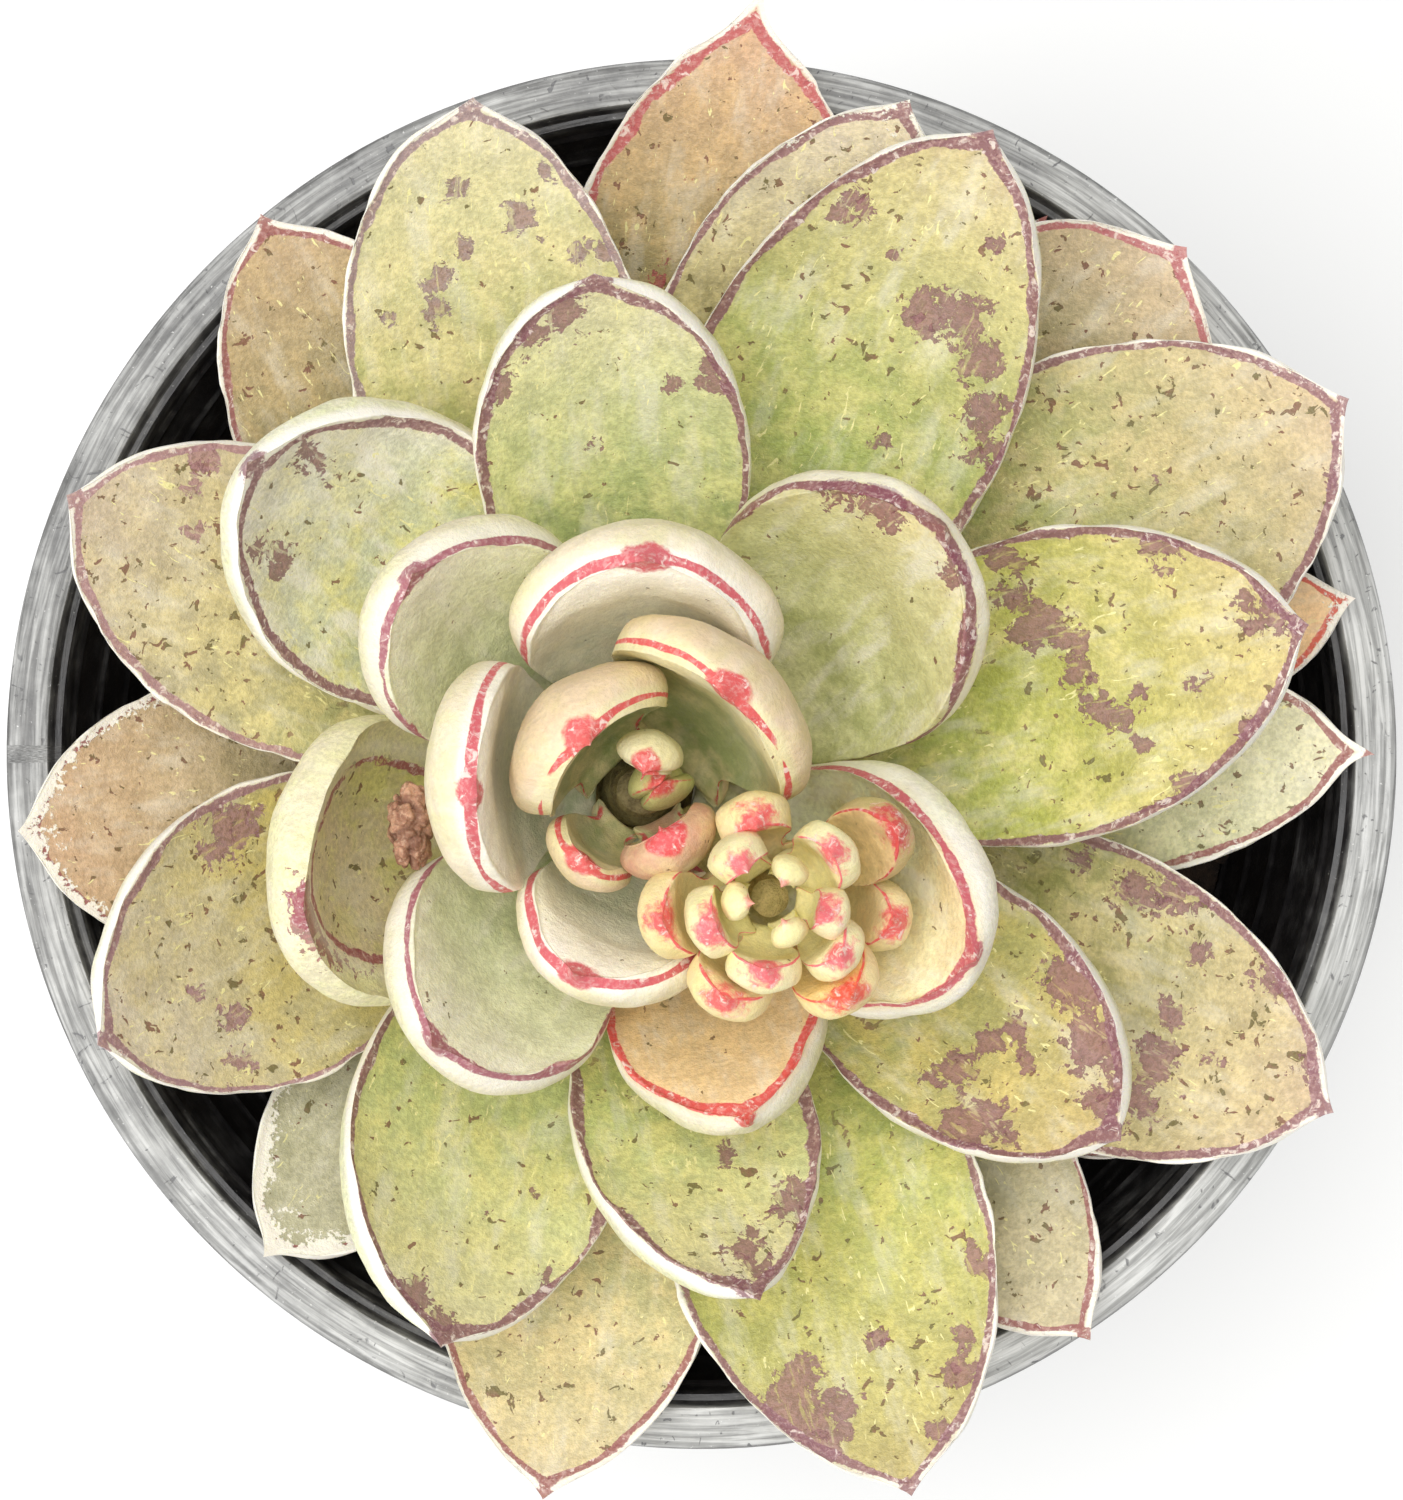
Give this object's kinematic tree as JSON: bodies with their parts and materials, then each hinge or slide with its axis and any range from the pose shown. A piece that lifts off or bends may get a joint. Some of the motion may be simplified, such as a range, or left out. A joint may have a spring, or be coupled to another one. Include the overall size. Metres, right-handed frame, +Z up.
{
  "type": "potted succulent",
  "caption": "Fleshy rosette succulent with a small offset rosette, growing in a thin round plastic nursery pot.",
  "frame": {"origin": "centre of the pot's underside, on the surface it stands on", "axes": "+Z up through the pot's axis. The small offset rosette lies towards +X and -Y of the main rosette"},
  "size_m": [0.105, 0.108, 0.1216],
  "materials": {
    "pot_plastic": "satin moulded plastic, weathered grey on the lip",
    "potting_mix": "rough, damp, with pale grit",
    "stem_bark": "matt, fleshy, scarred",
    "dried_leaf": "papery and crumpled",
    "outer_leaf_skin": "waxy skin, tan and dusky, brown specks",
    "lower_leaf_skin": "waxy skin, olive to lime, purple blotches",
    "middle_leaf_skin": "waxy skin, lime, purple-brown margin",
    "upper_leaf_skin": "waxy skin, pale green, red-brown margin",
    "inner_leaf_skin": "waxy bloom, pale grey-green, red margin",
    "heart_leaf_skin": "waxy, yellow-green, red margin",
    "pup_leaf_skin": "waxy, cream-yellow, pink-red tips"
  },
  "bodies": {
    "root": {"nursery_pot": "pot_plastic", "soil": "potting_mix", "stem": "stem_bark", "pup_stem": "stem_bark", "dried_leaf": "dried_leaf", "outer_leaf_1": "outer_leaf_skin", "outer_leaf_2": "outer_leaf_skin", "outer_leaf_3": "outer_leaf_skin", "outer_leaf_4": "outer_leaf_skin", "outer_leaf_5": "outer_leaf_skin", "outer_leaf_6": "outer_leaf_skin", "outer_leaf_7": "outer_leaf_skin", "outer_leaf_8": "outer_leaf_skin", "outer_leaf_9": "outer_leaf_skin", "outer_leaf_10": "outer_leaf_skin", "outer_leaf_11": "outer_leaf_skin", "lower_leaf_1": "lower_leaf_skin", "lower_leaf_2": "lower_leaf_skin", "lower_leaf_3": "lower_leaf_skin", "lower_leaf_4": "lower_leaf_skin", "lower_leaf_5": "lower_leaf_skin", "lower_leaf_6": "lower_leaf_skin", "lower_leaf_7": "lower_leaf_skin", "middle_leaf_1": "middle_leaf_skin", "middle_leaf_2": "middle_leaf_skin", "middle_leaf_3": "middle_leaf_skin", "middle_leaf_4": "middle_leaf_skin", "middle_leaf_5": "middle_leaf_skin", "middle_leaf_6": "middle_leaf_skin", "middle_leaf_7": "middle_leaf_skin", "middle_leaf_8": "middle_leaf_skin", "upper_leaf_1": "upper_leaf_skin", "upper_leaf_2": "upper_leaf_skin", "upper_leaf_3": "upper_leaf_skin", "upper_leaf_4": "upper_leaf_skin", "upper_leaf_5": "upper_leaf_skin", "inner_leaf_1": "inner_leaf_skin", "inner_leaf_2": "inner_leaf_skin", "inner_leaf_3": "inner_leaf_skin", "heart_leaf_1": "heart_leaf_skin", "heart_leaf_2": "heart_leaf_skin", "heart_leaf_3": "heart_leaf_skin", "heart_leaf_4": "heart_leaf_skin", "heart_leaf_5": "heart_leaf_skin", "pup_outer_leaf_1": "pup_leaf_skin", "pup_outer_leaf_2": "pup_leaf_skin", "pup_outer_leaf_3": "pup_leaf_skin", "pup_outer_leaf_4": "pup_leaf_skin", "pup_outer_leaf_5": "pup_leaf_skin", "pup_outer_leaf_6": "pup_leaf_skin", "pup_inner_leaf_1": "pup_leaf_skin", "pup_inner_leaf_2": "pup_leaf_skin", "pup_inner_leaf_3": "pup_leaf_skin", "pup_inner_leaf_4": "pup_leaf_skin", "pup_inner_leaf_5": "pup_leaf_skin", "pup_inner_leaf_6": "pup_leaf_skin", "pup_heart_leaf_1": "pup_leaf_skin", "pup_heart_leaf_2": "pup_leaf_skin", "pup_heart_leaf_3": "pup_leaf_skin"}
  },
  "joints": []
}
